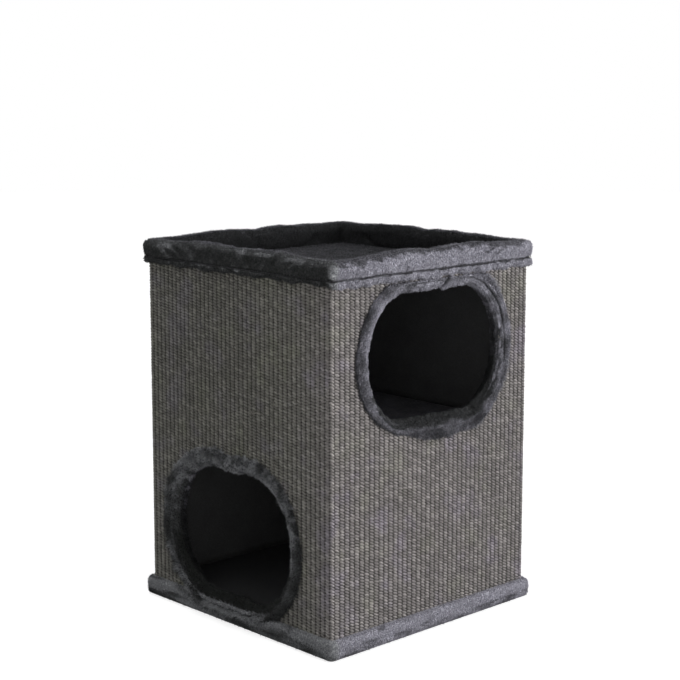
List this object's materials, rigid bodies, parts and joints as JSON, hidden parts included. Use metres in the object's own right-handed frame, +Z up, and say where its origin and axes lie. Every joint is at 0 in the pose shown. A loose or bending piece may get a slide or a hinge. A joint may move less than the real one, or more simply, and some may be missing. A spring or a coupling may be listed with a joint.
{
  "type": "cat scratching tower",
  "caption": "Square cat tower: stacked caves behind oval doorways, woven sisal scratching sides, and a padded plush rim round an open top tray.",
  "frame": {"origin": "middle of the footprint, on the floor", "axes": "+Z up; -Y is the front, with the upper doorway; -X is the left side, with the lower doorway"},
  "size_m": [0.455, 0.455, 0.6],
  "materials": {
    "plush": "short dark slate plush, crushed pile",
    "woven_sisal": "coarse ribbed sisal weave, dyed taupe grey",
    "lining_cloth": "matt black felt",
    "foam": "soft polyurethane foam strip",
    "board": "raw particle board",
    "screw_steel": "zinc plated"
  },
  "bodies": {
    "root": {"base_board": "board", "base_cover": "plush", "front_wall": "board", "back_wall": "board", "left_wall": "board", "right_wall": "board", "sisal_mat": "woven_sisal", "shelf_board": "board", "shelf_cover": "plush", "shelf_under_cloth": "lining_cloth", "seat_board": "board", "seat_cover": "plush", "seat_under_cloth": "lining_cloth", "lower_cave_lining": "lining_cloth", "upper_cave_lining": "lining_cloth", "rim_padding": "foam", "rim_cover": "plush", "upper_door_padding": "foam", "upper_door_trim": "plush", "lower_door_padding": "foam", "lower_door_trim": "plush", "base_screw_1": "screw_steel", "base_screw_2": "screw_steel", "base_screw_3": "screw_steel", "base_screw_4": "screw_steel", "base_screw_5": "screw_steel", "base_screw_6": "screw_steel", "base_screw_7": "screw_steel", "base_screw_8": "screw_steel", "corner_screw_1": "screw_steel", "corner_screw_2": "screw_steel", "corner_screw_3": "screw_steel", "corner_screw_4": "screw_steel", "corner_screw_5": "screw_steel", "corner_screw_6": "screw_steel", "corner_screw_7": "screw_steel", "corner_screw_8": "screw_steel", "corner_screw_9": "screw_steel", "corner_screw_10": "screw_steel", "corner_screw_11": "screw_steel", "corner_screw_12": "screw_steel", "shelf_screw_1": "screw_steel", "shelf_screw_2": "screw_steel", "shelf_screw_3": "screw_steel", "shelf_screw_4": "screw_steel", "seat_screw_1": "screw_steel", "seat_screw_2": "screw_steel", "seat_screw_3": "screw_steel", "seat_screw_4": "screw_steel"}
  },
  "joints": []
}
